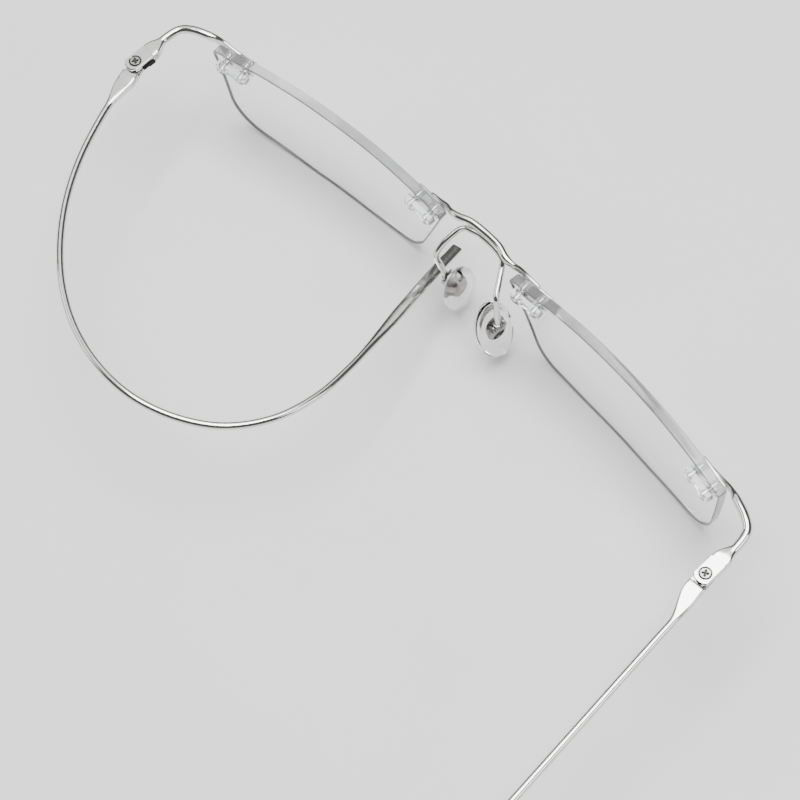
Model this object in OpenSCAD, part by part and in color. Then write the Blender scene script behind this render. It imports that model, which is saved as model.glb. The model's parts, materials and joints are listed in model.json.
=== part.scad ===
// Rimless eyeglasses with wire temples: the left temple is curled round and tucked under
// the bridge, the right one lies open. +Y is the way the lenses face, +X the wearer's right.

/* [Lenses] */
// Distance between the two lens centres
lens_pitch = 68; // [66:0.5:70]
// Lens width
lens_w = 52.8; // [50:0.1:54]
// Lens height
lens_h = 22; // [20:0.5:24]
// Lens thickness
lens_t = 1.9; // [1.5:0.1:2.5]
// Radius of the front surface
lens_r = 171; // [120:1:260]
// Angle that each lens turns back at its outer side
lens_wrap = 5; // [3:0.5:7]
// Distance between the two holes of a pair
hole_pitch = 3.8; // [3.4:0.1:4.2]
// Radius of each lens hole
hole_r = 0.75; // [0.65:0.05:0.85]

/* [Frame wires] */
// Diameter of the bridge wire
bridge_d = 1.45; // [1.2:0.05:1.7]
// Diameter of the wire that carries the nose pads
pad_wire_d = 1.1; // [0.9:0.05:1.2]
// Diameter of the end piece wire
endpiece_d = 1.6; // [1.4:0.05:1.8]
// Diameter of the temple wire
temple_d = 1.35; // [1.2:0.05:1.5]
// Thickness of the plates on the lens fronts
plate_t = 0.6; // [0.4:0.05:0.8]

/* [Hinges] */
// Distance between the two hinge screws
hinge_pitch = 136; // [134:0.5:138]
// Distance from the lens fronts back to the hinge screws
hinge_back = 17.8; // [16.5:0.1:19]
// Width of the flattened ends that the screw holds together
paddle_w = 3; // [2.6:0.1:3.4]
// Radius of the screw shank
screw_r = 0.6; // [0.5:0.05:0.7]
// Radius of the screw head
head_r = 1.02; // [0.9:0.02:1.2]

/* [Temples] */
// Straight length of the open temple, from the screw to the ear bend
straight_l = 95; // [90:1:100]
// Radius of the ear bend
ear_r = 54; // [50:1:60]
// Angle that the ear bend turns down
ear_angle = 45; // [40:1:46]
// Length of the straight end past the ear bend
ear_end_l = 7.6; // [5:0.5:9]
// Angle that the open temple spreads outward
splay = 4.6; // [3:0.5:9]
// Width of the flattened last stretch of each temple
tip_w = 2; // [1.8:0.1:2.6]

/* [Nose pads] */
// Length of the pad
pad_l = 13; // [12:0.2:15]
// Width of the pad
pad_w = 7.4; // [7:0.2:9]
// Thickness of the pad
pad_t = 2.5; // [1.6:0.1:2.8]
// Angle that the left pad arm is pushed in by the tucked temple
arm_push = 28; // [26:0.5:30]

/* [Hidden] */
$fn = 40;

// Where the middle of the outer box falls, measured from the middle of the bridge
origin = [5.7, -77.25, -lens_h];

// Lens layout: u runs outward along the lens, v up from its top edge
u_out = lens_w / 2 + 0.55;
u_in = lens_w / 2 - 0.6;
mid_v = -lens_h / 2;
outer_hole = [22.7, -1.8];
inner_hole = [-21.2, -2.6];
plate_gap = 0.08;
wire_flat = 0.75;

// Hinge layers, from the top down
hinge = [hinge_pitch / 2, -hinge_back, 0];
ep_top = 1.25;
ep_bottom = 0.15;
leaf_top = -0.02;
leaf_t = 0.9;
leaf_full = 1.6;
leaf_mid = leaf_top - leaf_t / 2;
wire_side = (paddle_w - temple_d) / 2;
nut_t = 0.6;
head_t = 0.38;
head_top = ep_top + 0.05;
lap_front = 1.62;
lap_back = 2.1;

// Upper paddle seen from above, and the thick block in front of the temple's leaf
half_w = paddle_w / 2;
upper_paddle = [
    [half_w - 0.05, -1.2], [half_w, -1.1], [half_w, 3.6], [0.85, 5.4], [-0.65, 5.4], [-half_w, 3.4],
    [-half_w, -1], [-half_w + 0.2, -1.35], [-0.8, -1.7], [0, -1.85], [0.8, -1.7]
];
lap_block = [
    [half_w, lap_front], [half_w, 3.6], [0.85, 5.4], [-0.65, 5.4], [-half_w, 3.4],
    [-half_w - 0.35, 3], [-half_w - 0.35, lap_front]
];

// Nose pad layout
pad_pivot = [9.3, -5.8, -10.9];
pad_turn = [0, -17, -5];
left_pad_set = [6, -5, 12];
arm_root = [-4.4, -0.6, -1.2];
arm_axis = [0.341, -0.768, 0.542];
pad_drop = 2.2;
insert_drop = 1;
pad_outer = -0.9;
insert_r = 1.7;
insert_l = 1.2;
box = [1.3, 1.6, 1.5];
pad_screw_r = 0.4;
cheek_t = 0.4;
cheek_gap = 0.06;

// Centre lines. Each is the right-hand half or wire, in order along the wire.
bridge_half = [
    [0, 0.95, 1], [3.3, 0.75, 1], [5.6, 0.05, 0.8], [7.3, 0.05, 0.3], [8.8, 0.55, -0.4],
    [10.6, 0.66, -1.1], [12.6, 0.76, -1.6]
];
pad_arm = [
    [5.1, -0.1, -1.2], [5.7, -1, -1.9], [8, -4.5, -3.1], [8.6, -5.2, -4], [9, -5.5, -6.8],
    [9.3, -5.8, -10.4]
];
pad_wire_left = [
    [-4.19, -4.73, -12.09], [-5.23, -5.12, -8.64], [-5.9, -5.33, -5.89], [-5.7, -3.9, -3.8],
    [-5.15, -2.3, -2.3], [-4.55, -0.9, -1.15], [-3.9, -0.3, -0.55]
];
pad_wire_mid = [
    [-3.1, 0, -0.3], [-1.2, 0.45, -0.22], [1.5, 0.55, -0.25], [3.5, 0.4, -0.42], [4.6, 0.15, -0.78]
];
endpiece_path = [
    [55.6, -3.05, -1.8], [58.2, -3.5, -1.2], [60.6, -4, -0.3], [62.6, -5, 0.8], [65.6, -6.3, 1],
    [67.6, -7.9, 0.7], [68.2, -10.6, 0.5], [68.1, -14.2, 0.45]
];
curl_path = [
    [-66.4, -23.5, -0.5], [-64.3, -29.5, -0.5], [-60.8, -37, -0.5], [-56.2, -44, -0.5], [-50.6, -50.1, -0.5],
    [-44.1, -55.2, -0.5], [-36.7, -58.9, -0.5], [-28.7, -60.8, -0.5], [-20.4, -60.7, -0.6],
    [-12.6, -58.1, -1.2],
    [-6, -53.3, -2.1], [-1.7, -46.3, -3.3], [-0.2, -38.3, -4.7], [-0.8, -30.2, -6.2], [-2.4, -22.3, -8],
    [-4.3, -14.4, -9.9], [-6.2, -6.6, -12], [-7.9, 1.2, -14.2]
];

// Vector helpers and a smooth curve through points
function unit(v) = v / norm(v);
function curve_at(a, b, c, d, t) =
    0.5 * (2 * b + (c - a) * t + (2 * a - 5 * b + 4 * c - d) * t * t + (3 * b - a - 3 * c + d) * t * t * t);
function pick(p, i) = p[max(0, min(len(p) - 1, i))];
function smooth(p, n) = [
    for (i = [0 : len(p) - 2])
        for (k = [0 : n - 1])
            curve_at(pick(p, i - 1), p[i], p[i + 1], pick(p, i + 2), k / n),
    p[len(p) - 1]
];
function flip_x(p) = [for (i = [len(p) - 1 : -1 : 0]) [-p[i][0], p[i][1], p[i][2]]];
function mix(a, b, t) = a + (b - a) * max(0, min(1, t));

// Outline of a lens, with each corner rounded to its own radius
function corner(a, b, c, r, n) =
    let (
        p = unit(a - b),
        q = unit(c - b),
        half = acos(p * q) / 2,
        m = b + unit(p + q) * r / sin(half),
        s = b + p * r / tan(half) - m,
        e = b + q * r / tan(half) - m,
        sweep = 180 - 2 * half,
        turn = sign(s[0] * e[1] - s[1] * e[0])
    )
    [for (k = [0 : n])
        let (t = turn * sweep * k / n)
        m + [s[0] * cos(t) - s[1] * sin(t), s[0] * sin(t) + s[1] * cos(t)]];
lens_corners = [
    [u_out, 0.65, 0.8], [9, 0.9, 60], [-9, 0.6, 60], [-u_in, -0.65, 0.8],
    [-18.6, 1.8 - lens_h, 7], [-8, -lens_h, 40], [8, -lens_h, 40], [24.6, 2.6 - lens_h, 8]
];
function outline() = [
    for (i = [0 : 7])
        let (a = lens_corners[(i + 7) % 8], b = lens_corners[i], c = lens_corners[(i + 1) % 8])
            each corner([a[0], a[1]], [b[0], b[1]], [c[0], c[1]], b[2], 8)
];

// Wire of oval section along a list of points; w and h list the widths and heights
module wire(path, w, h, up, sides) {
    n = len(path);
    t = [for (i = [0 : n - 1]) unit(pick(path, i + 1) - pick(path, i - 1))];
    side = [for (i = [0 : n - 1]) unit(cross(t[i], up))];
    top = [for (i = [0 : n - 1]) cross(side[i], t[i])];
    ring = [
        for (i = [0 : n - 1])
            for (k = [0 : sides - 1])
                path[i] + side[i] * cos(360 * k / sides) * w[i] / 2 + top[i] * sin(360 * k / sides) * h[i] / 2
    ];
    walls = [
        for (i = [0 : n - 2])
            for (k = [0 : sides - 1])
                let (j = (k + 1) % sides)
                [i * sides + k, i * sides + j, (i + 1) * sides + j, (i + 1) * sides + k]
    ];
    first = [for (k = [sides - 1 : -1 : 0]) k];
    last = [for (k = [0 : sides - 1]) (n - 1) * sides + k];
    polyhedron(points = ring, faces = concat([first], walls, [last]), convexity = 6);
}

module round_wire(path, d, up = [0, 0, 1], sides = 12) {
    size = [for (p = path) d];
    wire(path, size, size, up, sides);
}

// Moves a shape from the glasses' own layout to the middle of the outer box
module placed() {
    translate(-origin) children();
}

// Turns a right-hand shape into the left-hand one
module left_hand() {
    mirror([1, 0, 0]) children();
}

// Lens frame: x outward along the lens, y forward, z up from the top edge
module on_lens() {
    translate([lens_pitch / 2, 0, 0])
        rotate([0, 0, -lens_wrap])
            children();
}

// Frame at a pair of holes, standing on the lens front with y along its normal
module at_holes(uv) {
    on_lens()
        translate([0, -lens_r, mid_v])
            rotate([0, 0, -asin(uv[0] / lens_r)])
                rotate([asin((uv[1] - mid_v) / lens_r), 0, 0])
                    translate([0, lens_r, 0])
                        children();
}

module pair_of_pins(r, back, front) {
    for (s = [-0.5, 0.5])
        translate([s * hole_pitch, front, 0])
            rotate([90, 0, 0])
                cylinder(r = r, h = front + back);
}

module lens() {
    difference() {
        on_lens()
            intersection() {
                translate([0, 2, 0])
                    rotate([90, 0, 0])
                        linear_extrude(12)
                            polygon(outline());
                translate([0, -lens_r, mid_v])
                    difference() {
                        sphere(r = lens_r, $fn = 360);
                        sphere(r = lens_r - lens_t, $fn = 360);
                    }
            }
        at_holes(outer_hole)
            pair_of_pins(hole_r, lens_t + 2, 2);
        at_holes(inner_hole)
            pair_of_pins(hole_r, lens_t + 2, 2);
    }
}

// Clear sleeve: a bar behind the lens with two round bosses that line the holes
module sleeve(uv) {
    bar_l = hole_pitch + 2.4;
    back = lens_t + 0.1;
    at_holes(uv)
        difference() {
            union() {
                translate([-bar_l / 2, -back - 1.2, -1])
                    cube([bar_l, 1.2, 2]);
                pair_of_pins(hole_r, back + 1, -plate_gap);
                pair_of_pins(1.05, back + 1.55, -back - 0.6);
            }
            pair_of_pins(0.4, back + 4, 2);
        }
}

// Thin plate on the lens front with its two pins
module pin_plate(uv) {
    plate_l = hole_pitch + 2.6;
    at_holes(uv) {
        translate([-plate_l / 2, plate_gap, -1.2])
            cube([plate_l, plate_t, 2.4]);
        pair_of_pins(0.4, lens_t + 1.5, plate_gap + 0.1);
    }
}

module bridge_side() {
    pin_plate(inner_hole);
}

module bridge() {
    path = smooth(concat(flip_x(bridge_half), [for (i = [1 : len(bridge_half) - 1]) bridge_half[i]]), 4);
    thick = [for (p = path) mix(bridge_d, wire_flat, (abs(p[0]) - 5.5) / 2.5)];
    tall = [for (p = path) mix(bridge_d, 1.7, (abs(p[0]) - 5.5) / 2.5)];
    color("silver") placed() {
        wire(path, thick, tall, [0, 0, 1], 12);
        bridge_side();
        left_hand() bridge_side();
    }
}

// Wire that holds both pads: soldered behind the bridge, with the left arm pushed in
module arm_pushed() {
    translate(arm_root)
        rotate(a = arm_push, v = arm_axis)
            translate(-arm_root)
                children();
}

module nose_pad_wire() {
    color("silver") placed()
        round_wire(smooth(concat(pad_wire_left, pad_wire_mid, pad_arm), 4), pad_wire_d, [0, 1, 0.02]);
}

// End piece: plate, bent wire, and a half-lap hinge end with the screw head sunk in it
module endpiece() {
    path = smooth(endpiece_path, 4);
    thick = [for (p = path) mix(wire_flat, endpiece_d, (p[0] - 60.8) / 2.5)];
    tall = [for (p = path) mix(1.8, endpiece_d, (p[0] - 60.8) / 2.5)];
    pin_plate(outer_hole);
    wire(path, thick, tall, [0, 0, 1], 12);
    translate(hinge)
        difference() {
            union() {
                translate([0, 0, ep_bottom])
                    linear_extrude(ep_top - ep_bottom)
                        polygon(upper_paddle);
                translate([0, 0, leaf_top - leaf_t])
                    linear_extrude(ep_bottom - leaf_top + leaf_t + 0.4)
                        polygon(lap_block);
            }
            translate([0, 0, -3])
                cylinder(r = screw_r, h = 6);
            translate([0, 0, head_top - head_t])
                cylinder(r = head_r + 0.08, h = 2);
        }
}

// Lower hinge paddle of a temple: it lies along -Y from the screw, with a straight outer edge
module leaf() {
    difference() {
        union() {
            translate([0, 0, leaf_top - leaf_t]) {
                cylinder(d = paddle_w, h = leaf_t);
                translate([-half_w, -2.6, 0])
                    cube([paddle_w, 2.6, leaf_t]);
            }
            hull() {
                translate([-half_w, -3.5, leaf_top - leaf_t])
                    cube([paddle_w, 3.5 - lap_back, leaf_full]);
                translate([half_w - temple_d, -9.5, leaf_mid - temple_d / 2])
                    cube([temple_d, 0.3, temple_d]);
            }
        }
        translate([0, 0, -3])
            cylinder(r = screw_r + 0.04, h = 6);
    }
}

// Curled temple: one wire from the paddle round to the flattened tip under the bridge
module left_temple() {
    path = smooth(curl_path, 4);
    n = len(path);
    w = [for (i = [0 : n - 1]) mix(temple_d, tip_w, (i - n + 16) / 6)];
    h = [for (i = [0 : n - 1]) mix(temple_d, 0.95, (i - n + 16) / 6)];
    color("silver") placed() {
        translate([-hinge[0], hinge[1], 0])
            rotate([0, 0, 20])
                left_hand() leaf();
        wire(path, w, h, [0, 0, 1], 12);
    }
}

// Open temple: straight wire, ear bend and flattened tip
module right_temple() {
    bend = [for (a = [0 : 3 : ear_angle])
        [0, -straight_l - ear_r * sin(a), leaf_mid - ear_r * (1 - cos(a))]];
    bend_end = bend[len(bend) - 1];
    tip = [for (s = [1 : 3]) bend_end + [0, -cos(ear_angle), -sin(ear_angle)] * ear_end_l * s / 3];
    straight = [for (y = [-7, -35, -65]) [0, y, leaf_mid]];
    path = concat(straight, bend, tip);
    n = len(path);
    w = [for (i = [0 : n - 1]) mix(temple_d, tip_w, (i - n + 10) / 3)];
    h = [for (i = [0 : n - 1]) mix(temple_d, 0.95, (i - n + 10) / 3)];
    color("silver") placed()
        translate(hinge)
            rotate([0, 0, splay]) {
                leaf();
                translate([wire_side, 0, 0])
                    wire(path, w, h, [0, 0, 1], 12);
            }
}

module hinge_screw() {
    bottom = leaf_top - leaf_t - 0.02 - nut_t - 0.3;
    translate(hinge)
        difference() {
            union() {
                translate([0, 0, bottom])
                    cylinder(r = screw_r, h = head_top - bottom - 0.1);
                translate([0, 0, head_top - head_t])
                    cylinder(r = head_r, h = head_t);
            }
            for (a = [30, 120])
                rotate([0, 0, a])
                    translate([-0.65, -0.14, head_top - 0.2])
                        cube([1.3, 0.28, 1]);
        }
}

module hinge_washer() {
    translate(hinge)
        difference() {
            cylinder(d = paddle_w - 0.1, h = ep_bottom);
            translate([0, 0, -1])
                cylinder(r = screw_r, h = 3);
        }
}

module hinge_nut() {
    translate(hinge + [0, 0, leaf_top - leaf_t - 0.02 - nut_t])
        difference() {
            cylinder(r = 1.15, h = nut_t, $fn = 6);
            translate([0, 0, -1])
                cylinder(r = screw_r, h = 3);
        }
}

// Frame at a pad's screw: x outward from the nose, y along the screw, z up
module at_pad() {
    translate(pad_pivot)
        rotate(pad_turn)
            children();
}

module left_pad_side() {
    arm_pushed()
        left_hand()
            at_pad()
                rotate(left_pad_set)
                    children();
}

module pad_disc(r, l, t) {
    rotate([0, -90, 0])
        linear_extrude(t)
            union() {
                for (s = [-0.5, 0.5])
                    translate([s * l, 0])
                        circle(r = r);
                translate([-l / 2, -r])
                    square([l, 2 * r]);
            }
}

module nose_pad() {
    oval = [for (a = [0 : 7.5 : 359]) [pad_l / 2 * cos(a), pad_w / 2 * sin(a)]];
    inner = [for (p = oval) p * 0.86];
    difference() {
        translate([pad_outer, 0, -pad_drop])
            rotate([0, -90, 0]) {
                linear_extrude(pad_t - 0.5)
                    polygon(oval);
                linear_extrude(pad_t)
                    polygon(inner);
            }
        translate([pad_outer, 0, -insert_drop])
            pad_disc(insert_r, insert_l, 0.4);
        translate([pad_outer + 0.01, 0, -insert_drop])
            pad_disc(insert_r, insert_l, 0.1);
    }
}

// Metal insert: an oval disc set in the pad, with two cheeks that hold the screw
module pad_insert() {
    cheek_y = box[1] / 2 + cheek_gap;
    translate([pad_outer, 0, -insert_drop])
        pad_disc(insert_r, insert_l, 0.4);
    difference() {
        for (y = [-cheek_y - cheek_t, cheek_y])
            translate([pad_outer - 0.1, y, -0.85])
                cube([-pad_outer + 0.75, cheek_t, 1.6]);
        translate([0, 2, 0])
            rotate([90, 0, 0])
                cylinder(r = pad_screw_r, h = 4);
    }
}

// Box on the end of the pad wire
module pad_box() {
    difference() {
        translate([-box[0] / 2, -box[1] / 2, -box[2] / 2 + 0.05])
            cube(box);
        translate([0, 2, 0])
            rotate([90, 0, 0])
                cylinder(r = pad_screw_r + 0.03, h = 4);
        translate([0, 0, 0.5])
            rotate([0, 17, 0])
                cylinder(d = pad_wire_d, h = 3);
    }
}

module pad_screw() {
    outer = box[1] / 2 + cheek_gap + cheek_t;
    translate([0, outer, 0])
        rotate([90, 0, 0])
            cylinder(r = pad_screw_r, h = 2 * outer);
    translate([0, outer + 0.3, 0])
        rotate([90, 0, 0])
            cylinder(r = 0.62, h = 0.3);
}

module left_lens() { color([0.85, 0.93, 0.95, 0.4]) placed() left_hand() lens(); }
module right_lens() { color([0.85, 0.93, 0.95, 0.4]) placed() lens(); }
module left_endpiece() { color("silver") placed() left_hand() endpiece(); }
module right_endpiece() { color("silver") placed() endpiece(); }
module left_outer_sleeve() { color("white") placed() left_hand() sleeve(outer_hole); }
module left_inner_sleeve() { color("white") placed() left_hand() sleeve(inner_hole); }
module right_inner_sleeve() { color("white") placed() sleeve(inner_hole); }
module right_outer_sleeve() { color("white") placed() sleeve(outer_hole); }
module left_hinge_screw() { color("dimgray") placed() left_hand() hinge_screw(); }
module right_hinge_screw() { color("dimgray") placed() hinge_screw(); }
module left_hinge_washer() { color("black") placed() left_hand() hinge_washer(); }
module right_hinge_washer() { color("black") placed() hinge_washer(); }
module left_hinge_nut() { color("dimgray") placed() left_hand() hinge_nut(); }
module right_hinge_nut() { color("dimgray") placed() hinge_nut(); }
module left_nose_pad() { color("whitesmoke") placed() left_pad_side() nose_pad(); }
module right_nose_pad() { color("whitesmoke") placed() at_pad() nose_pad(); }
module left_pad_insert() { color("gray") placed() left_pad_side() pad_insert(); }
module right_pad_insert() { color("gray") placed() at_pad() pad_insert(); }
module left_pad_box() { color("gray") placed() left_pad_side() pad_box(); }
module right_pad_box() { color("gray") placed() at_pad() pad_box(); }
module left_pad_screw() { color("dimgray") placed() left_pad_side() pad_screw(); }
module right_pad_screw() { color("dimgray") placed() at_pad() pad_screw(); }

left_lens();
right_lens();
bridge();
nose_pad_wire();
left_endpiece();
right_endpiece();
left_outer_sleeve();
left_inner_sleeve();
right_inner_sleeve();
right_outer_sleeve();
left_temple();
right_temple();
left_hinge_screw();
right_hinge_screw();
left_hinge_washer();
right_hinge_washer();
left_hinge_nut();
right_hinge_nut();
left_nose_pad();
right_nose_pad();
left_pad_insert();
right_pad_insert();
left_pad_box();
right_pad_box();
left_pad_screw();
right_pad_screw();
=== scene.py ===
"""Rimless eyeglasses with a curled left temple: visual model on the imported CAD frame."""
import json
import math

import bmesh
import bpy
from mathutils import Matrix, Vector
from mathutils.geometry import delaunay_2d_cdt


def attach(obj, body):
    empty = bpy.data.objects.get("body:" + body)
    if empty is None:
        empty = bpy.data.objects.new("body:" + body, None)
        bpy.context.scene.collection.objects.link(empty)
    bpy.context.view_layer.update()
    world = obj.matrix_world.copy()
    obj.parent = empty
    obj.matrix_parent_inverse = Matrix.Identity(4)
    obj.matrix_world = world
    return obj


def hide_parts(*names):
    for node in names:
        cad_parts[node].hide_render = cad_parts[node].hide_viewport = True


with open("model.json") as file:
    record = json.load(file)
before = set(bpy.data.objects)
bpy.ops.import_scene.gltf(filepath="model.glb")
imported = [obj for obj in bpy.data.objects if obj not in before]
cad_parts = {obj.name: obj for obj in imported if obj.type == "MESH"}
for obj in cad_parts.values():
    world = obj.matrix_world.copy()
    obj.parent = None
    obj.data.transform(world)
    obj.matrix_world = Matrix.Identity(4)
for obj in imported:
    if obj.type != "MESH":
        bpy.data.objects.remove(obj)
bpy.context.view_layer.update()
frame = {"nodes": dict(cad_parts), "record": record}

MM = 0.001

# ---------------------------------------------------------------- layout, in millimetres
# X is outward on the right, Y the way the lenses face, and Z up, from a point just under the bridge's middle.
# Lenses. A place on a lens is (u, v): u outward from its middle, v up from its top edge.
LENS_PITCH = 68.0  # between the lens middles
LENS_R = 171.0  # radius of the front surface
LENS_T = 1.9
LENS_WRAP = 5.0  # degrees that each lens turns back
LENS_BEVEL = 0.16
LENS_GRID = 1.3  # between the mesh points inside a lens
MID_V = -11.0  # the lens middle
HOLE_PITCH = 3.8  # between the two holes of a pair
HOLE_R = 0.75
OUTER_HOLE = (22.7, -1.8)  # the middle of the pair
INNER_HOLE = (-21.2, -2.6)

# Plates on the lens fronts, with their pins
PLATE_GAP = 0.08  # between lens and plate
PLATE_T = 0.6
PLATE_H = 2.4
PLATE_PAST_HOLE = 1.3
PLATE_EDGE = 0.2  # size of the rounded edges
PIN_R = 0.4
PIN_BEHIND_LENS = 1.5
PIN_INTO_PLATE = 0.15

# Wires: diameters, sizes where flattened, and squareness (2 is round, 9 nearly a box)
BRIDGE_D = 1.45
PAD_WIRE_D = 1.1
ENDPIECE_D = 1.6
TEMPLE_D = 1.35
FLAT_W = 0.75
FLAT_BRIDGE_H = 1.7
FLAT_ENDPIECE_H = 1.8
FLAT_TAPER_L = 2.5  # in which a wire goes from flat to round
BRIDGE_FLAT_FROM = 5.5  # distance from the middle
ENDPIECE_FLAT_TO = 60.8  # distance from the middle
BLOCK_FROM = 11.2  # where the wire starts to spread, behind the lens fronts
BLOCK_TAPER_L = 2.9
BLOCK_H = 2.12  # of the thick block in front of the hinge
TIP_W = 2.0
TIP_H = 0.95
ROUND = 2.0
OVAL = 3.2
SOFT_BOX = 4.5
BOX = 9.0

# Hinges, about the screw at HINGE_X and HINGE_BACK, with heights from the layout's origin
HINGE_X = 68.0
HINGE_BACK = 17.8
PADDLE_W = 3.0
HALF_W = PADDLE_W / 2
UPPER_TOP = 1.25
UPPER_BOTTOM = 0.15
LEAF_T = 0.9
LEAF_FULL = 1.6  # thickness behind the lap
LEAF_HEIGHT = -0.47  # middle of the lower plate
LEAF_TOP = LEAF_HEIGHT + LEAF_T / 2
LEAF_BOTTOM = LEAF_HEIGHT - LEAF_T / 2
FULL_MID = LEAF_BOTTOM + LEAF_FULL / 2  # middle of the leaf behind the lap
LEAF_EDGE = 0.09  # rounding of the wire's first edge
LAP_FRONT = 1.62  # from the screw forward to the block
LAP_BACK = 1.96  # from the screw back to the full leaf
# The black lug and strip at each hinge's inner side are painted shade in the gap under the paddle
SHADE_STRIP_OUT = {"left": 0.43, "right": 0.2}  # past the side of the paddle
SHADE_STRIP_FRONT = 2.95
SHADE_STRIP_BACK = 0.3
SHADE_STRIP_IN = 0.15
SHADE_STRIP_GAP = 0.005
LUG_OUT = 0.33
LUG_IN = 0.2
LUG_BOTTOM = -0.5
SCREW_R = 0.6
SCREW_CHAMFER = 0.1
SHANK_L = 2.8
SHANK_BELOW_LEAF = 0.92
HEAD_R = 0.87
HEAD_TOP = 1.3
HEAD_T = 0.38
RECESS_R = 1.04  # of the hole round the screw head
CROSS_DEEP = 0.3
# Painted shade: a near-black plate under each screw head rises this far into the head and stays this far
# inside the hole round it
SHADE_DISC_INTO_HEAD = 0.02
SHADE_DISC_GAP = 0.01
CROSS_TURN = 30  # degrees
BORE_CLEARANCE = 0.03

# Temples
LEFT_HEADING = 20.0  # degrees inward from straight back
SPLAY = 4.6  # degrees outward from straight back
LEAF_END = 3.4  # from the screw back to the wire's first bend
TAPER_FROM = 1.2  # along the wire
TAPER_L = 6.2
TIP_L = 18.0  # the flattened length
TIP_TAPER_L = 12.0
STRAIGHT_L = 95.0  # from the screw to the ear bend
EAR_R = 54.0
EAR_ANGLE = 45.0
EAR_STEP = 9  # degrees between the points of the bend
EAR_END_L = 7.6  # past the bend
TEMPLE_STEP = 0.3  # between the rings of the wire's mesh

# Nose pads, about the pad screw
PAD_PIVOT = (9.3, -5.8, -10.9)
PAD_TURN = (-17.0, -5.0)  # degrees about Y, then Z
LEFT_PAD_SET = (6.0, -5.0, 12.0)  # how the left pad has settled, in degrees about X, Y, Z
PAD_L = 13.0
PAD_W = 7.4
PAD_T = 2.5
PAD_OUTER = -0.9  # the face that the insert sits in
PAD_DROP = 2.2  # from the screw down to the pad's middle
INSERT_L = 1.2
INSERT_DROP = 1.0  # from the screw down to the cup's middle
CHEEK_Y = 0.86  # inner face of each cheek
CHEEK_T = 0.4
CHEEK_END = PAD_OUTER - 0.28
PAD_BOX_X = 0.65  # half sizes of the block
PAD_BOX_Y = 0.8
PAD_SCREW_R = 0.4
COLLAR_RISE = 0.5
ARM_ROOT = (-4.4, -0.6, -1.2)  # the left arm is turned about this point and axis
ARM_AXIS = (0.341, -0.768, 0.542)
ARM_PUSH = 28.0  # degrees

# Centre lines, in order along each wire. Those of the bridge, pad arm and end piece are the right half's.
BRIDGE_HALF = [(0, 0.95, 1), (3.3, 0.75, 1), (5.6, 0.05, 0.8), (7.3, 0.05, 0.3), (8.8, 0.55, -0.4),
               (10.6, 0.66, -1.1), (12.6, 0.76, -1.6)]
PAD_ARM = [(5.1, -0.1, -1.2), (5.7, -1, -1.9), (8, -4.5, -3.1), (8.6, -5.2, -4), (9, -5.5, -6.8),
           (9.3, -5.8, -10.22)]
PAD_WIRE_MID = [(-3.1, 0, -0.3), (-1.2, 0.45, -0.22), (1.5, 0.55, -0.25), (3.5, 0.4, -0.42),
                (4.6, 0.15, -0.78)]
PAD_WIRE_LEFT = [(-3.9, -0.3, -0.55), (-4.55, -0.9, -1.15), (-5.15, -2.3, -2.3), (-5.7, -3.9, -3.8)]
ENDPIECE = [(55.6, -3.05, -1.8), (58.2, -3.5, -1.2), (60.6, -4, -0.3), (62.6, -5, 0.8), (65.6, -6.3, 1),
            (67.6, -7.9, 0.7), (68.2, -10.6, 0.5), (68.1, -12.6, 0.32), (68, -14.4, 0.165),
            (68, -16.15, 0.165)]
CURL = [(-66.4, -23.5, -0.5), (-64.3, -29.5, -0.5), (-60.8, -37, -0.5), (-56.2, -44, -0.5),
        (-50.6, -50.1, -0.5), (-44.1, -55.2, -0.5), (-36.7, -58.9, -0.5), (-28.7, -60.8, -0.5),
        (-20.4, -60.7, -0.6), (-12.6, -58.1, -1.2), (-6, -53.3, -2.1), (-1.7, -46.3, -3.3),
        (-0.2, -38.3, -4.7), (-0.8, -30.2, -6.2), (-2.4, -22.3, -8), (-4.3, -14.4, -9.9),
        (-6.2, -6.6, -12), (-7.9, 1.2, -14.2)]


def joint_place(name):
    """A hinge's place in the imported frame, in millimetres."""
    j = next(j for j in frame["record"]["behaviour"]["joints"] if j["name"] == name)
    return Vector(j["pos_m"]) / MM


# The layout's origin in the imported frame, from the two hinge screws
ORIGIN = (joint_place("left_temple_fold") + joint_place("right_temple_fold")) / 2 + Vector((0, HINGE_BACK, 0))
TO_FRAME = Matrix.Scale(MM, 4) @ Matrix.Translation(ORIGIN)
MIRROR = Matrix.Scale(-1, 4, (1, 0, 0))
MIRROR_Y = Matrix.Scale(-1, 4, (0, 1, 0))
UPRIGHT = Matrix.Rotation(math.radians(90), 4, "X")
HANDS = {"left": MIRROR, "right": Matrix.Identity(4)}


# ---------------------------------------------------------------- mesh helpers
SHARP_ANGLE = 32  # degrees at which an edge stays sharp
WIRE_END_R = 0.02  # least radius where a wire closes
TURNED_END_R = 0.005  # least radius of a turned shape
SHARPEST = 0.5  # keeps a sharp corner from growing far
LONGEST_EDGE = 1.6  # an outline's longer edges are cut, to pieces under twice this
CLEAR_OF_OUTLINE = 0.6  # how far grid points stay from a rim, as a share of the pitch
CLEAR_OF_HOLE = 0.35


def add_mesh(name, verts, faces, place=Matrix.Identity(4)):
    """Object from points in millimetres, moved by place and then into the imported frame."""
    whole = TO_FRAME @ place
    mesh = bpy.data.meshes.new(name)
    if whole.determinant() < 0:
        faces = [tuple(reversed(f)) for f in faces]
    mesh.from_pydata([whole @ Vector(v) for v in verts], [], faces)
    mesh.validate()
    bm = bmesh.new()
    bm.from_mesh(mesh)
    bmesh.ops.recalc_face_normals(bm, faces=bm.faces[:])
    bm.to_mesh(mesh)
    bm.free()
    for poly in mesh.polygons:
        poly.use_smooth = True
    mesh.set_sharp_from_angle(angle=math.radians(SHARP_ANGLE))
    obj = bpy.data.objects.new(name, mesh)
    bpy.context.scene.collection.objects.link(obj)
    return obj


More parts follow.
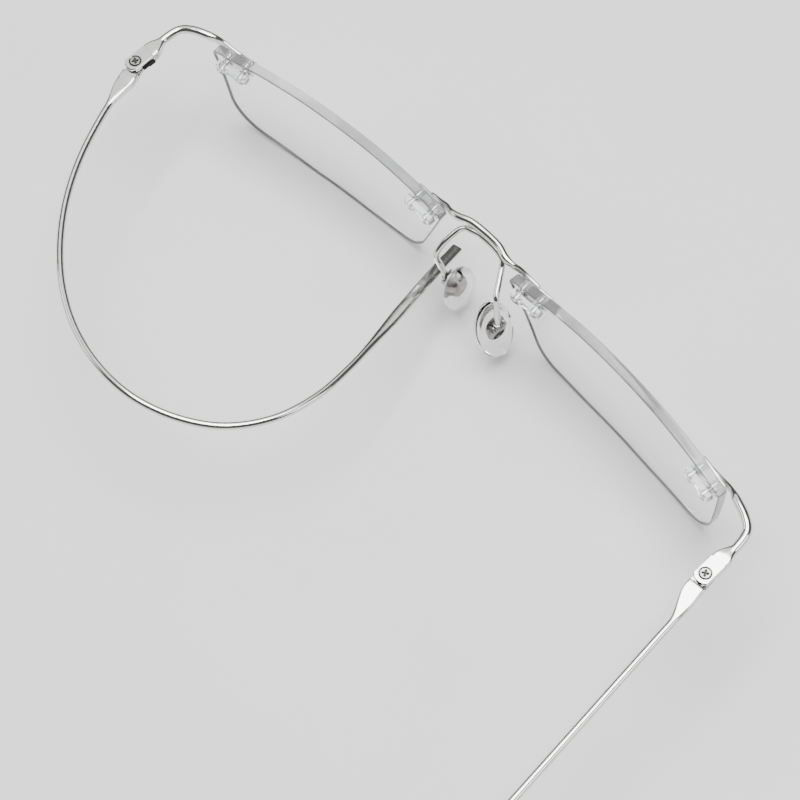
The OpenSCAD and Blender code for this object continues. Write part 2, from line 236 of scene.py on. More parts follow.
def lerp(a, b, t):
    """Between a and b, and no further than either."""
    return a + (b - a) * max(0.0, min(1.0, t))


def ease(t):
    """A slow start and end for t from 0 to 1."""
    t = max(0.0, min(1.0, t))
    return t * t * (3 - 2 * t)


def smooth_line(points, step, cuts=24):
    """Points about a step apart on a smooth curve through a wire's given points, and its length."""
    p = [Vector(q) for q in points]
    fine = []
    for i in range(len(p) - 1):
        a, b, c, d = p[max(i - 1, 0)], p[i], p[i + 1], p[min(i + 2, len(p) - 1)]
        for k in range(cuts):
            t = k / cuts
            fine.append(0.5 * (2 * b + (c - a) * t + (2 * a - 5 * b + 4 * c - d) * t * t
                               + (3 * b - a - 3 * c + d) * t ** 3))
    fine.append(p[-1])
    run = [0.0]
    for a, b in zip(fine, fine[1:]):
        run.append(run[-1] + (b - a).length)
    count = max(4, round(run[-1] / step))
    out, i = [], 0
    for k in range(count + 1):
        s = run[-1] * k / count
        while i < len(run) - 2 and run[i + 1] < s:
            i += 1
        out.append(fine[i].lerp(fine[i + 1], (s - run[i]) / max(run[i + 1] - run[i], 1e-9)))
    return out, run[-1]


def closed_skin(rings):
    """Points and faces of a closed skin through rings that have the same number of points."""
    verts = [q for ring in rings for q in ring]
    faces = []
    n = len(rings[0])
    for i in range(len(rings) - 1):
        for k in range(n):
            k2 = (k + 1) % n
            faces.append((i * n + k, i * n + k2, (i + 1) * n + k2, (i + 1) * n + k))
    faces.append(tuple(range(n - 1, -1, -1)))
    faces.append(tuple((len(rings) - 1) * n + k for k in range(n)))
    return verts, faces


def sweep(points, size, up=(0, 0, 1), sides=28, step=0.35, edge=0.12):
    """Points and faces of a wire whose two ends are rounded over a length of edge.

    size(s, length, point) gives its width, height and squareness.
    """
    line, length = smooth_line(points, step)
    up = Vector(up)
    stations = []
    for i, q in enumerate(line):
        t = (line[min(i + 1, len(line) - 1)] - line[max(i - 1, 0)]).normalized()
        s = length * i / (len(line) - 1)
        stations.append((q, t, size(s, length, q), 0.0))
    first, last = stations[0], stations[-1]
    head = [(first[0] - first[1] * edge * math.sin(a), first[1], first[2], edge * (1 - math.cos(a)))
            for a in (math.pi / 2, math.pi / 3, math.pi / 6)]
    tail = [(last[0] + last[1] * edge * math.sin(a), last[1], last[2], edge * (1 - math.cos(a)))
            for a in (math.pi / 6, math.pi / 3, math.pi / 2)]
    rings = []
    for q, t, (w, h, n), inset in head + stations + tail:
        side = t.cross(up).normalized()
        top = side.cross(t)
        ring = []
        for k in range(sides):
            a = 2 * math.pi * k / sides
            c, d = math.cos(a), math.sin(a)
            x = math.copysign(abs(c) ** (2 / n), c) * max(w / 2 - inset, WIRE_END_R)
            y = math.copysign(abs(d) ** (2 / n), d) * max(h / 2 - inset, WIRE_END_R)
            ring.append(q + side * x + top * y)
        rings.append(ring)
    return closed_skin(rings)


def soft_box(low, high, r):
    """Points and faces of a block between two corners, with rounded edges."""
    bm = bmesh.new()
    bmesh.ops.create_cube(bm, size=1)
    low, high = Vector(low), Vector(high)
    for v in bm.verts:
        v.co = Vector([(low[i] + high[i]) / 2 + v.co[i] * (high[i] - low[i]) for i in range(3)])
    bmesh.ops.bevel(bm, geom=bm.edges[:], offset=r, segments=3, profile=0.5, affect="EDGES")
    out = [v.co.copy() for v in bm.verts], [tuple(v.index for v in f.verts) for f in bm.faces]
    bm.free()
    return out


def lathe(profile, sides=40):
    """Points and faces of a turned shape about Z from (radius, height) pairs, closed at both ends."""
    rings = []
    for r, z in profile:
        rings.append([Vector((p.x, p.y, z)) for p in circle(0, 0, max(r, TURNED_END_R), sides)])
    return closed_skin(rings)


def rounded_corner(a, b, c, r, n):
    """Points on the arc, in n steps, that rounds the corner b between a and c."""
    p, q = (a - b).normalized(), (c - b).normalized()
    half = math.acos(p.dot(q)) / 2
    m = b + (p + q).normalized() * r / math.sin(half)
    s, e = b + p * r / math.tan(half) - m, b + q * r / math.tan(half) - m
    swing = math.pi - 2 * half
    way = 1 if s.x * e.y - s.y * e.x > 0 else -1
    out = []
    for k in range(n + 1):
        t = way * swing * k / n
        out.append(m + Vector((s.x * math.cos(t) - s.y * math.sin(t), s.x * math.sin(t) + s.y * math.cos(t))))
    return out


def circle(x, y, r, n=40):
    """Points round a circle, anticlockwise."""
    angles = [2 * math.pi * k / n for k in range(n)]
    return [Vector((x + r * math.cos(a), y + r * math.sin(a))) for a in angles]


def grown(loop, by):
    """Loop (anticlockwise) with each point pushed outward, or inward where by is negative."""
    out, n = [], len(loop)
    for i, p in enumerate(loop):
        a, b = (p - loop[i - 1]).normalized(), (loop[(i + 1) % n] - p).normalized()
        t = (a + b).normalized()
        out.append(p + Vector((t.y, -t.x)) * by / max(SHARPEST, t.dot(a)))
    return out


def rounded(corners, n=6):
    """Closed outline from (x, y, radius) corners, with points along its long edges."""
    pts, m = [], len(corners)
    for i, (x, y, r) in enumerate(corners):
        a, c = corners[i - 1], corners[(i + 1) % m]
        pts += rounded_corner(Vector(a[:2]), Vector((x, y)), Vector(c[:2]), r, n)
    out = []
    for a, b in zip(pts, pts[1:] + pts[:1]):
        cuts = max(1, int((b - a).length / LONGEST_EDGE))
        out += [a.lerp(b, k / cuts) for k in range(cuts)]
    area = sum(a.x * b.y - b.x * a.y for a, b in zip(out, out[1:] + out[:1]))
    return out if area > 0 else out[::-1]


def inside(p, loop):
    """Whether a point is within a closed loop, by counting the edges it crosses."""
    hit = False
    for a, b in zip(loop, loop[1:] + loop[:1]):
        if (a.y > p.y) != (b.y > p.y) and p.x < (b.x - a.x) * (p.y - a.y) / (b.y - a.y) + a.x:
            hit = not hit
    return hit


def slab(outline, holes, lift, thick, bevel, pitch=None):
    """Closed plate with holes and bevelled rims; lift(point, depth) gives a place under its first skin.

    pitch adds a grid of points inside it, which a curved plate needs. Also returns how many of its
    faces, the first ones, belong to the two skins.
    """
    loops = [outline] + holes
    inset = [grown(outline, -bevel)] + [grown(h, bevel) for h in holes]
    flat, edges, starts = [], [], []
    for loop in inset:
        starts.append(len(flat))
        edges += [(len(flat) + i, len(flat) + (i + 1) % len(loop)) for i in range(len(loop))]
        flat += loop
    if pitch:
        lo = [min(p[i] for p in outline) for i in (0, 1)]
        hi = [max(p[i] for p in outline) for i in (0, 1)]
        core = grown(outline, -CLEAR_OF_OUTLINE * pitch)
        rims = [grown(h, CLEAR_OF_HOLE * pitch) for h in holes]
        for i in range(int((hi[0] - lo[0]) / pitch) + 1):
            for j in range(int((hi[1] - lo[1]) / pitch) + 1):
                p = Vector((lo[0] + (i + 0.5 * (j % 2)) * pitch, lo[1] + j * pitch))
                if inside(p, core) and not any(inside(p, r) for r in rims):
                    flat.append(p)
    out = delaunay_2d_cdt(flat, edges, [], 0, 1e-5)
    points = out[0]
    skin = []
    for f in out[2]:
        mid = (points[f[0]] + points[f[1]] + points[f[2]]) / 3
        if inside(mid, inset[0]) and not any(inside(mid, h) for h in inset[1:]):
            skin.append(tuple(f))
    place = {}
    for new, olds in enumerate(out[3]):
        for old in olds:
            place[old] = new
    verts = [lift(p, 0) for p in points] + [lift(p, thick) for p in points]
    faces = skin + [tuple(len(points) + i for i in reversed(f)) for f in skin]
    count = len(faces)
    for loop, start in zip(loops, starts):
        n = len(loop)
        rings = [[place[start + i] for i in range(n)]]
        for depth in (bevel, thick - bevel):
            rings.append([len(verts) + i for i in range(n)])
            verts += [lift(p, depth) for p in loop]
        rings.append([len(points) + place[start + i] for i in range(n)])
        for a, b in zip(rings, rings[1:]):
            faces += [(a[i], a[(i + 1) % n], b[(i + 1) % n], b[i]) for i in range(n)]
    return verts, faces, count


def plate(outline, holes, low, high, bevel):
    """A flat plate standing between two heights."""
    verts, faces, _ = slab(outline, holes, lambda p, d: Vector((p.x, p.y, high - d)), high - low, bevel)
    return verts, faces


def moved(part, place):
    """The same points and faces in another place."""
    verts, faces = part
    if place.determinant() < 0:
        faces = [tuple(reversed(f)) for f in faces]
    return [place @ Vector(v) for v in verts], faces


def joined(parts):
    """One list of points and one of faces from several parts."""
    verts, faces = [], []
    for v, f in parts:
        base = len(verts)
        verts += list(v)
        faces += [tuple(i + base for i in g) for g in f]
    return verts, faces


# ---------------------------------------------------------------- places on the object
def turn(axis, degrees):
    """A turn about an axis."""
    return Matrix.Rotation(math.radians(degrees), 4, axis)


def at_holes(uv):
    """Frame at a pair of holes on the right lens front: x outward, y along the normal, z up."""
    u, v = uv
    return (AT_LENS @ Matrix.Translation((0, -LENS_R, MID_V))
            @ turn("Z", -math.degrees(math.asin(u / LENS_R)))
            @ turn("X", math.degrees(math.asin((v - MID_V) / LENS_R)))
            @ Matrix.Translation((0, LENS_R, 0)))


AT_PAD = Matrix.Translation(PAD_PIVOT) @ turn("Z", PAD_TURN[1]) @ turn("Y", PAD_TURN[0])
PUSHED = (Matrix.Translation(ARM_ROOT) @ Matrix.Rotation(math.radians(ARM_PUSH), 4, Vector(ARM_AXIS))
          @ Matrix.Translation(-Vector(ARM_ROOT)))
SET = turn("Z", LEFT_PAD_SET[2]) @ turn("Y", LEFT_PAD_SET[1]) @ turn("X", LEFT_PAD_SET[0])
PAD_PLACE = {"left": PUSHED @ MIRROR @ AT_PAD @ SET, "right": AT_PAD}
AT_HINGE = Matrix.Translation((HINGE_X, -HINGE_BACK, 0))
AT_LENS = Matrix.Translation((LENS_PITCH / 2, 0, 0)) @ turn("Z", -LENS_WRAP)


# ---------------------------------------------------------------- materials
def nodes_of(name):
    """A new material, its node tree and its shader."""
    mat = bpy.data.materials.new(name)
    mat.use_nodes = True
    tree = mat.node_tree
    return mat, tree, tree.nodes["Principled BSDF"]


def noise(tree, scale, detail=4.0):
    """Noise over the object's own coordinates, which are metres."""
    coord = tree.nodes.new("ShaderNodeTexCoord")
    tex = tree.nodes.new("ShaderNodeTexNoise")
    tex.inputs["Scale"].default_value = scale
    tex.inputs["Detail"].default_value = detail
    tree.links.new(coord.outputs["Object"], tex.inputs["Vector"])
    return tex.outputs["Fac"]


def ramp(tree, value, stops):
    """Colour of a value, from two (position, colour) stops."""
    node = tree.nodes.new("ShaderNodeValToRGB")
    for element, (position, colour) in zip(node.color_ramp.elements, stops):
        element.position = position
        element.color = colour
    tree.links.new(value, node.inputs["Fac"])
    return node.outputs["Color"]


def to_range(tree, value, low, high):
    """Noise, which lies mostly between 0.3 and 0.7, spread from low to high."""
    node = tree.nodes.new("ShaderNodeMapRange")
    node.inputs["From Min"].default_value = 0.3
    node.inputs["From Max"].default_value = 0.7
    node.inputs["To Min"].default_value = low
    node.inputs["To Max"].default_value = high
    tree.links.new(value, node.inputs["Value"])
    return node.outputs["Result"]


def bump(tree, shader, height, strength, distance):
    """Fine relief from a height, whose distance is in metres."""
    node = tree.nodes.new("ShaderNodeBump")
    node.inputs["Strength"].default_value = strength
    node.inputs["Distance"].default_value = distance
    tree.links.new(height, node.inputs["Height"])
    tree.links.new(node.outputs["Normal"], shader.inputs["Normal"])


def grey(v):
    """A colour with equal parts."""
    return (v, v, v, 1.0)


def metal(name, dark, light, rough, scale):
    """Polished wire or stamped metal: faint tone and gloss variation with fine drawing marks."""
    mat, tree, shader = nodes_of(name)
    shader.inputs["Metallic"].default_value = 1.0
    tone = noise(tree, scale, detail=5.0)
    tree.links.new(ramp(tree, tone, ((0.35, dark), (0.65, light))), shader.inputs["Base Color"])
    gloss = noise(tree, scale * 2.5, detail=3.0)
    tree.links.new(to_range(tree, gloss, *rough), shader.inputs["Roughness"])
    marks = noise(tree, scale * 6, detail=2.0)
    bump(tree, shader, marks, strength=0.02, distance=0.00002)
    return mat


def clear(name, tint, ior, rough, scale, bumps=0.0, through=1.0):
    """Clear glass, nylon or silicone, with faint smears in its gloss."""
    mat, tree, shader = nodes_of(name)
    shader.inputs["IOR"].default_value = ior
    shader.inputs["Transmission Weight"].default_value = through
    shader.inputs["Base Color"].default_value = tint
    tree.links.new(to_range(tree, noise(tree, scale), *rough), shader.inputs["Roughness"])
    if bumps:
        bump(tree, shader, noise(tree, scale * 3, detail=2.0), strength=bumps, distance=0.0001)
    return mat


def matte(name, tone, rough, scale, specular=0.5):
    """A plain grey that doesn't shine, with some variation in its gloss."""
    mat, tree, shader = nodes_of(name)
    shader.inputs["Base Color"].default_value = grey(tone)
    shader.inputs["Specular IOR Level"].default_value = specular
    tree.links.new(to_range(tree, noise(tree, scale), *rough), shader.inputs["Roughness"])
    return mat


TITANIUM = metal("polished_titanium", dark=(0.66, 0.65, 0.635, 1), light=(0.71, 0.70, 0.685, 1),
                 rough=(0.1, 0.14), scale=700.0)
SCREW = metal("turned_steel", dark=(0.30, 0.295, 0.29, 1), light=(0.42, 0.415, 0.41, 1),
              rough=(0.16, 0.3), scale=1800.0)
# Near-black metal on the plate under each screw head: painted shade in the cross and in the gap round the
# head
RECESS_SHADE = metal("screw_recess_painted_shade", dark=(0.03, 0.03, 0.03, 1), light=(0.08, 0.08, 0.078, 1),
               rough=(0.4, 0.6), scale=1800.0)
PAD_METAL = metal("stamped_metal", dark=(0.17, 0.165, 0.16, 1), light=(0.38, 0.37, 0.36, 1),
                  rough=(0.09, 0.17), scale=1600.0)
LENS = clear("lens", tint=(0.985, 0.995, 0.99, 1), ior=1.49, rough=(0.0, 0.012), scale=60.0)
LENS_EDGE = clear("lens_edge", tint=(0.95, 0.965, 0.96, 1), ior=1.49, rough=(0.05, 0.1), scale=300.0,
                  bumps=0.02, through=0.88)
SLEEVE = clear("clear_nylon", tint=(0.92, 0.94, 0.94, 1), ior=1.5, rough=(0.015, 0.06), scale=500.0)
SILICONE = clear("clear_silicone", tint=(0.94, 0.945, 0.935, 1), ior=1.45, rough=(0.015, 0.06), scale=400.0,
                 bumps=0.05)
# Black for the hinge washers, and painted shade on the lug and strip at each hinge's inner side
NYLON_AND_SHADE = matte("black_nylon_and_painted_shade", tone=0.008, rough=(0.6, 0.8), scale=900.0, specular=0.2)


# ---------------------------------------------------------------- pieces
def add_piece(name, part, body, node, mat, place=Matrix.Identity(4)):
    """A visible piece that rides on a CAD body and takes the place of a CAD node, if one is given."""
    obj = add_mesh(name, *part, place=place)
    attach(obj, body)
    if node:
        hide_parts(node)
    obj.data.materials.append(mat)
    return obj


def second_material(obj, mat, first, last):
    """Gives the faces from first up to last their own material."""
    obj.data.materials.append(mat)
    for poly in obj.data.polygons[first:last]:
        poly.material_index = 1


# ---------------------------------------------------------------- lenses
LENS_OUTLINE = rounded([(26.95, 0.65, 0.8), (9, 0.9, 60), (-9, 0.6, 60), (-25.8, -0.65, 0.8),
                        (-18.6, -20.2, 7), (-8, -22, 40), (8, -22, 40), (24.6, -19.4, 8)], n=10)


def on_lens(p, depth):
    """A place under the lens front, which is part of a ball, as the back is."""
    r = LENS_R - depth
    return Vector((p.x, math.sqrt(r * r - p.x ** 2 - (p.y - MID_V) ** 2) - LENS_R, p.y))


def hole_pair(uv):
    """Outlines of two lens holes, where a plate's straight pins pass through the lens."""
    place = AT_LENS.inverted() @ at_holes(uv)
    mids = [place @ Vector((s * HOLE_PITCH, -LENS_T / 2, 0)) for s in (-0.5, 0.5)]
    return [circle(m.x, m.z, HOLE_R, n=28) for m in mids]


for hand, place in HANDS.items():
    verts, faces, skins = slab(LENS_OUTLINE, hole_pair(OUTER_HOLE) + hole_pair(INNER_HOLE), on_lens,
                               LENS_T, LENS_BEVEL, LENS_GRID)
    lens = add_piece(f"{hand}_lens_glass", (verts, faces), "front", f"{hand}_lens", LENS,
                     place @ AT_LENS)
    second_material(lens, LENS_EDGE, skins, len(faces))


# ---------------------------------------------------------------- bridge
def pin_plate(uv):
    """Plate on the lens front, its two pins, and their rounded ends behind the sleeve."""
    half_l = HOLE_PITCH / 2 + PLATE_PAST_HOLE
    low = (-half_l, PLATE_GAP, -PLATE_H / 2)
    high = (half_l, PLATE_GAP + PLATE_T, PLATE_H / 2)
    parts = [soft_box(low, high, PLATE_EDGE)]
    back = LENS_T + PIN_BEHIND_LENS
    pin = lathe([(0, 0), (0.25, 0.02), (0.37, 0.1), (PIN_R, 0.25), (PIN_R, back + PIN_INTO_PLATE)], sides=24)
    for s in (-0.5, 0.5):
        parts.append(moved(pin, Matrix.Translation((s * HOLE_PITCH, -back, 0)) @ turn("X", -90)))
    return moved(joined(parts), at_holes(uv))


def bridge_size(s, length, q):
    """Round in the middle, flattened over the lenses."""
    t = (abs(q.x) - BRIDGE_FLAT_FROM) / FLAT_TAPER_L
    e = ease(t)
    return lerp(BRIDGE_D, FLAT_W, e), lerp(BRIDGE_D, FLAT_BRIDGE_H, e), lerp(ROUND, OVAL, t)


def bridge():
    """The bridge wire with the plate and pins of each lens."""
    line = [(-x, y, z) for x, y, z in reversed(BRIDGE_HALF)] + BRIDGE_HALF[1:]
    ends = pin_plate(INNER_HOLE)
    return joined([sweep(line, bridge_size), ends, moved(ends, MIRROR)])


add_piece("bridge_wire", bridge(), "front", "bridge", TITANIUM)


# ---------------------------------------------------------------- end pieces and hinge screws
def endpiece_size(s, length, q):
    """Flat on the lens, round through the bend, then spread into the thick block of the hinge."""
    if q.y > -BLOCK_FROM:
        t = (q.x - ENDPIECE_FLAT_TO) / FLAT_TAPER_L
        e = ease(t)
        return lerp(FLAT_W, ENDPIECE_D, e), lerp(FLAT_ENDPIECE_H, ENDPIECE_D, e), lerp(OVAL, ROUND, t)
    t = ease((-q.y - BLOCK_FROM) / BLOCK_TAPER_L)
    return lerp(ENDPIECE_D, PADDLE_W, t), lerp(ENDPIECE_D, BLOCK_H, t), lerp(ROUND, BOX, t)


def paddle():
    """Upper plate of the hinge, round the screw head, blunt at the back."""
    outline = rounded([(HALF_W, -1.2, 0.15), (HALF_W, 3.3, 0.4), (-HALF_W, 3.1, 0.4), (-HALF_W, -1.15, 0.15),
                       (-0.8, -1.72, 0.5), (0, -1.86, 2), (0.8, -1.72, 0.5)])
    return plate(outline, [circle(0, 0, RECESS_R)], UPPER_BOTTOM, UPPER_TOP, bevel=0.12)


def endpiece():
    """Right end piece: wire and hinge block, plate and pins, and the paddle."""
    wire = sweep(ENDPIECE, endpiece_size, step=0.2, edge=0.06)
    return joined([wire, pin_plate(OUTER_HOLE), moved(paddle(), AT_HINGE)])


def hinge_stop_painted_shade(shade_strip_out):
    """Lug at the inner side of the hinge block, and the strip that runs back from it over the leaf: both
    black, as painted shade in the gap under the paddle.
    """
    lug = soft_box((-HALF_W - LUG_OUT, LAP_FRONT, LUG_BOTTOM),
                   (-HALF_W + LUG_IN, SHADE_STRIP_FRONT, UPPER_BOTTOM), r=0.1)
    strip = soft_box((-HALF_W - shade_strip_out, SHADE_STRIP_BACK, -SHADE_STRIP_GAP),
                     (-HALF_W + SHADE_STRIP_IN, SHADE_STRIP_FRONT, UPPER_BOTTOM - SHADE_STRIP_GAP), r=0.05)
    return joined([lug, strip])


def cross_cut():
    """Outline of the cross in the screw head."""
    arm = [(0.18, -0.13), (0.44, -0.22), (0.66, 0), (0.44, 0.22), (0.18, 0.13)]
    outline = []
    for k in range(4):
        a = math.radians(CROSS_TURN + 90 * k)
        c, s = math.cos(a), math.sin(a)
        outline += [Vector((c * x - s * y, s * x + c * y)) for x, y in arm]
    return outline


def hinge_screw():
    """Turned screw, and how many of its faces, the first ones, belong to the near-black plate under its head.

    That plate is painted shade: it shows as shade in the cross, and as a dark ring of shade between the head
    and the paddle.
    """
    disc_top = HEAD_TOP - CROSS_DEEP + SHADE_DISC_INTO_HEAD
    # The near-black plate under the head is painted shade, seen through the cross and round the head
    disc = plate(circle(0, 0, RECESS_R - SHADE_DISC_GAP), [], HEAD_TOP - HEAD_T, disc_top, bevel=0.03)
    head = plate(circle(0, 0, HEAD_R), [cross_cut()], HEAD_TOP - CROSS_DEEP, HEAD_TOP, bevel=0.05)
    shank = lathe([(0, 0), (SCREW_R - SCREW_CHAMFER, 0), (SCREW_R, SCREW_CHAMFER), (SCREW_R, SHANK_L),
                   (0, SHANK_L)])
    shank = moved(shank, Matrix.Translation((0, 0, LEAF_BOTTOM - SHANK_BELOW_LEAF)))
    return joined([disc, head, shank]), len(disc[1])


for hand, place in HANDS.items():
    add_piece(f"{hand}_endpiece_wire", endpiece(), "front", f"{hand}_endpiece", TITANIUM, place)
    # Black lug and strip: painted shade under the paddle's inner side
    add_piece(f"{hand}_hinge_stop_painted_shade", hinge_stop_painted_shade(SHADE_STRIP_OUT[hand]), "front", None, NYLON_AND_SHADE,
              place @ AT_HINGE)
    turned, shade_faces = hinge_screw()
    screw = add_piece(f"{hand}_hinge_screw_turned", turned, "front", f"{hand}_hinge_screw", SCREW,
                      place @ AT_HINGE)
    # The plate under the head gets the near-black painted shade
    second_material(screw, RECESS_SHADE, 0, shade_faces)


# ---------------------------------------------------------------- nose pad wire
def pad_wire_size(s, length, q):
    """Round all along."""
    return PAD_WIRE_D, PAD_WIRE_D, ROUND


def pad_wire():
    """One wire from pad to pad. Its left arm ends as the right one's mirror, pushed in by the temple."""
    left_arm = [PUSHED @ (MIRROR @ Vector(q)) for q in PAD_ARM]
    line = left_arm[:2:-1] + PAD_WIRE_LEFT[::-1] + PAD_WIRE_MID + PAD_ARM
    return sweep(line, pad_wire_size, up=(0, 1, 0.02), sides=20, step=0.25, edge=0.05)


add_piece("nose_pad_wire_bent", pad_wire(), "front", "nose_pad_wire", TITANIUM)


# ---------------------------------------------------------------- temples
def leaf():
    """Lower plate of the hinge, on its screw, with its front rounded."""
    outline = rounded([(HALF_W, -2.7, 0.1), (HALF_W, 0.9, 1.1), (0.55, 1.5, 0.9), (-0.55, 1.5, 0.9),
                       (-HALF_W, 0.9, 1.1), (-HALF_W, -2.7, 0.1)])
    return plate(outline, [circle(0, 0, SCREW_R + BORE_CLEARANCE)], LEAF_BOTTOM, LEAF_TOP, bevel=0.08)


def temple_size(s, length, q):
    """Full leaf behind the lap, taper to round wire, and a flattened tip."""
    t = ease((s - TAPER_FROM) / TAPER_L)
    w, h, n = lerp(PADDLE_W, TEMPLE_D, t), lerp(LEAF_FULL, TEMPLE_D, t), lerp(BOX, ROUND, t)
    t = ease((length - s - TIP_L) / TIP_TAPER_L)
    if t < 1:
        w, h, n = lerp(TIP_W, TEMPLE_D, t), lerp(TIP_H, TEMPLE_D, t), lerp(SOFT_BOX, ROUND, t)
    return w, h, n


def left_temple():
    """The curled temple where it lies tucked: its leaf, turned to the wire's heading, and the curl."""
    heading = math.radians(LEFT_HEADING)
    along = Vector((math.sin(heading), -math.cos(heading), 0))
    hinge = Vector((-HINGE_X, -HINGE_BACK, FULL_MID))
    line = [hinge + along * (LAP_BACK + LEAF_EDGE), hinge + along * LEAF_END] + CURL
    leaf_place = Matrix.Translation((-HINGE_X, -HINGE_BACK, 0)) @ turn("Z", LEFT_HEADING)
    return joined([sweep(line, temple_size, step=TEMPLE_STEP, edge=LEAF_EDGE), moved(leaf(), leaf_place)])


def right_temple():
    """The open temple, straight back from its screw: leaf, wire along its outer side, bend and end."""
    side = (PADDLE_W - TEMPLE_D) / 2
    line = [(0, -LAP_BACK - LEAF_EDGE, FULL_MID), (0, -LEAF_END, FULL_MID),
            (side * 0.5, -5.6, FULL_MID - 0.12), (side, -8.8, LEAF_HEIGHT)]
    line += [(side, -y, LEAF_HEIGHT) for y in (14, 35, 65, 85)]
    for degrees in range(0, int(EAR_ANGLE) + 1, EAR_STEP):
        a = math.radians(degrees)
        drop = EAR_R * (1 - math.cos(a))
        line.append(Vector((side, -STRAIGHT_L - EAR_R * math.sin(a), LEAF_HEIGHT - drop)))
    a = math.radians(EAR_ANGLE)
    down = Vector((0, -math.cos(a), -math.sin(a)))
    bend_end = line[-1]
    line += [bend_end + down * EAR_END_L * k for k in (0.5, 1.0)]
    return joined([sweep(line, temple_size, step=TEMPLE_STEP, edge=LEAF_EDGE), leaf()])


add_piece("left_temple_wire", left_temple(), "left_temple_arm", "left_temple", TITANIUM)
add_piece("right_temple_wire", right_temple(), "right_temple_arm", "right_temple", TITANIUM,
          AT_HINGE @ turn("Z", SPLAY))


# ---------------------------------------------------------------- nose pads
def pad_shell(sides=64):
    """Oval silicone pad: a dished face round the insert, a full round edge and a domed nose side."""
    # Each pair is a depth and the share of the pad's width and length there
    profile = [(-0.2, 0.2), (-0.18, 0.42), (-0.12, 0.58), (-0.02, 0.66), (0.0, 0.74), (-0.04, 0.84),
               (-0.22, 0.93), (-0.55, 0.985), (-0.95, 1.0), (-1.4, 0.985), (-1.8, 0.93), (-2.12, 0.83),
               (-2.34, 0.68), (-2.46, 0.48), (-PAD_T, 0.24)]
    rings = []
    for x, share in profile:
        w, h = PAD_W / 2 * share, PAD_L / 2 * share
        angles = [2 * math.pi * k / sides for k in range(sides)]
        rings.append([Vector((PAD_OUTER + x, w * math.sin(a), -PAD_DROP + h * math.cos(a))) for a in angles])
    return closed_skin(rings)


def pad_cup(sides=48):
    """Oval stamped cup, small at the back and flared to a rolled rim, with two cheeks that hold the screw."""
    # Each pair is a depth and the radius of the oval's round ends there
    profile = [(-0.36, 0.3), (-0.36, 0.7), (-0.42, 0.78), (-0.42, 0.98), (-0.38, 1.1), (-0.3, 1.17),
               (-0.2, 1.32), (-0.1, 1.6), (-0.04, 1.84), (0.02, 1.96), (0.08, 1.98), (0.12, 1.92),
               (0.1, 1.82), (0.0, 1.66), (-0.08, 1.42), (-0.16, 1.2), (-0.22, 0.95), (-0.24, 0.5)]
    rings = []
    for x, r in profile:
        ring = []
        for k in range(sides):
            a = 2 * math.pi * (k + 0.5) / sides
            end = math.copysign(INSERT_L / 2, math.cos(a))
            ring.append(Vector((PAD_OUTER + x, r * math.sin(a), end + r * math.cos(a) - INSERT_DROP)))
        rings.append(ring)
    outline = rounded([(0.62, -0.8, 0.55), (0.62, 0.72, 0.55), (CHEEK_END, 0.74, 0.1),
                       (CHEEK_END, -0.84, 0.1)])
    cheek = plate(outline, [], -CHEEK_Y - CHEEK_T, -CHEEK_Y, bevel=0.09)
    return joined([closed_skin(rings), moved(cheek, MIRROR_Y @ UPRIGHT), moved(cheek, UPRIGHT)])


def pad_block():
    """Squashed end of the wire between the cheeks, with a turned collar where the wire enters it."""
    outline = rounded([(PAD_BOX_X, -0.7, 0.3), (PAD_BOX_X, 0.74, 0.3), (-PAD_BOX_X, 0.74, 0.3),
                       (-PAD_BOX_X, -0.7, 0.3)])
    bore = circle(0, 0, PAD_SCREW_R + BORE_CLEARANCE)
    block = plate(outline, [bore], -PAD_BOX_Y, PAD_BOX_Y, bevel=0.14)
    collar = lathe([(0.3, 0), (0.62, 0.04), (0.78, 0.18), (0.8, 0.36), (0.68, 0.52), (0.5, 0.58)], sides=28)
    along_wire = turn("Y", -PAD_TURN[0]) @ Matrix.Translation((0, 0, COLLAR_RISE))
    return joined([moved(block, UPRIGHT), moved(collar, along_wire)])


for hand, place in PAD_PLACE.items():
    swivel = f"{hand}_pad_swivel"
    add_piece(f"{hand}_pad_cup", pad_cup(), swivel, f"{hand}_pad_insert", PAD_METAL, place)
    add_piece(f"{hand}_pad_block", pad_block(), "front", f"{hand}_pad_box", PAD_METAL, place)
    add_piece(f"{hand}_silicone_pad", pad_shell(), swivel, f"{hand}_nose_pad", SILICONE,
              place)


# ---------------------------------------------------------------- small CAD pieces keep their shape
SMALL_PIECES = {"hinge_nut": SCREW, "hinge_washer": NYLON_AND_SHADE, "pad_screw": SCREW,
                "outer_sleeve": SLEEVE, "inner_sleeve": SLEEVE}
for hand in HANDS:
    for part, mat in SMALL_PIECES.items():
        obj = frame["nodes"][f"{hand}_{part}"]
        obj.data.materials.clear()
        obj.data.materials.append(mat)


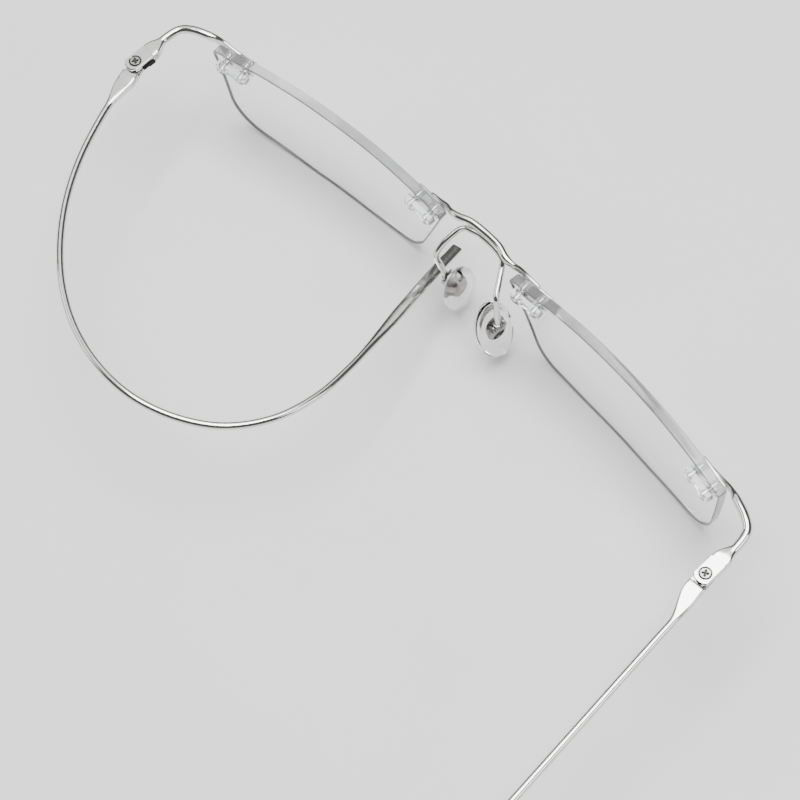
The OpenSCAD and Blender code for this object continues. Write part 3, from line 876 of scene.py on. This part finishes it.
# ---------------------------------------------------------------- floor, light and camera
# The floor and lights are in metres. The camera's place is in millimetres, as the layout is, and its
# three directions give the photograph's viewing angle.
FLOOR_HALF = 3.0
FLOOR_BELOW = 0.0002
LIGHTS_AIM = Vector((0, 0.03, 0))
CAMERA_AT = ORIGIN + Vector((163.55, -144.40, 381.26))
CAMERA_RIGHT = Vector((0.6883, 0.7232, -0.0572))
CAMERA_DOWN = Vector((0.6321, -0.6365, -0.4419))
CAMERA_AHEAD = Vector((-0.3559, 0.2680, -0.8952))

bm = bmesh.new()
bmesh.ops.create_grid(bm, x_segments=1, y_segments=1, size=FLOOR_HALF)
floor_mesh = bpy.data.meshes.new("floor")
bm.to_mesh(floor_mesh)
bm.free()
floor_mesh.materials.append(matte("pale_floor", tone=0.82, rough=(0.5, 0.62), scale=30.0))
floor = bpy.data.objects.new("floor", floor_mesh)
bpy.context.scene.collection.objects.link(floor)
floor.location.z = -FLOOR_BELOW


def softbox(name, where, size, power):
    """A rectangular lamp that faces the glasses."""
    light = bpy.data.lights.new(name, "AREA")
    light.shape = "RECTANGLE"
    light.size, light.size_y = size
    light.energy = power
    obj = bpy.data.objects.new(name, light)
    obj.location = where
    obj.rotation_euler = (LIGHTS_AIM - Vector(where)).to_track_quat("-Z", "Y").to_euler()
    bpy.context.scene.collection.objects.link(obj)


softbox("overhead", where=(-0.02, 0.10, 0.85), size=(0.62, 0.62), power=12.5)
softbox("card", where=(-0.42, 0.27, 1.0), size=(1.1, 1.1), power=5.4)
softbox("side", where=(0.75, 0.35, 0.45), size=(0.35, 0.5), power=2.0)
softbox("front", where=(-0.7, -0.45, 0.5), size=(0.5, 0.3), power=2.0)

world = bpy.data.worlds.new("studio")
world.use_nodes = True
background = world.node_tree.nodes["Background"]
background.inputs["Color"].default_value = grey(0.8)
background.inputs["Strength"].default_value = 0.16
bpy.context.scene.world = world

cam_data = bpy.data.cameras.new("camera")
cam_data.sensor_width = 36.0
cam_data.lens = 118.05
cam_data.clip_start = 0.01
camera = bpy.data.objects.new("camera", cam_data)
turned = Matrix((CAMERA_RIGHT, -CAMERA_DOWN, -CAMERA_AHEAD)).transposed().to_4x4()
camera.matrix_world = Matrix.Translation(MM * CAMERA_AT) @ turned
bpy.context.scene.collection.objects.link(camera)
bpy.context.scene.camera = camera
